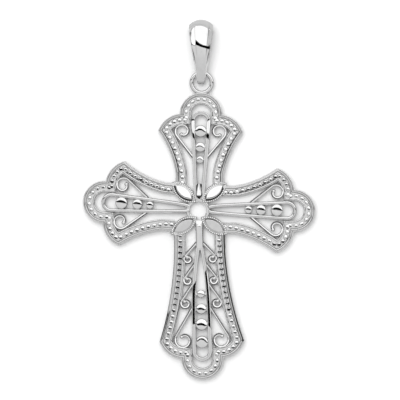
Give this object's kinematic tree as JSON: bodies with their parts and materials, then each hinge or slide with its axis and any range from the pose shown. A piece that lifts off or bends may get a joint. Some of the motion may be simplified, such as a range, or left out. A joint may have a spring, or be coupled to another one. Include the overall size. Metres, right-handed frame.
{
  "type": "cross pendant",
  "caption": "Openwork filigree cross pendant in silver with beaded borders, a soldered ring and a tapered swinging bail, lying on its flat back.",
  "frame": {"origin": "middle of the whole pendant's outline, on the surface that its flat back lies on", "axes": "+X across the arms, to the right as seen from the face; +Y along the pendant, towards the bail; +Z out of the face"},
  "size_m": [0.0372, 0.0576, 0.0038],
  "materials": {
    "cast_silver": "polished cast silver with shaded recesses",
    "bail_silver": "high polish"
  },
  "bodies": {
    "cross": {"cross": "cast_silver"},
    "bail": {"bail": "bail_silver"}
  },
  "joints": [
    {"name": "bail_swing", "type": "hinge", "parent": "cross", "child": "bail", "pos_m": [0.0003, 0.02034, 0.00102], "axis": [1, 0, 0], "range_deg": [0, 110]}
  ]
}
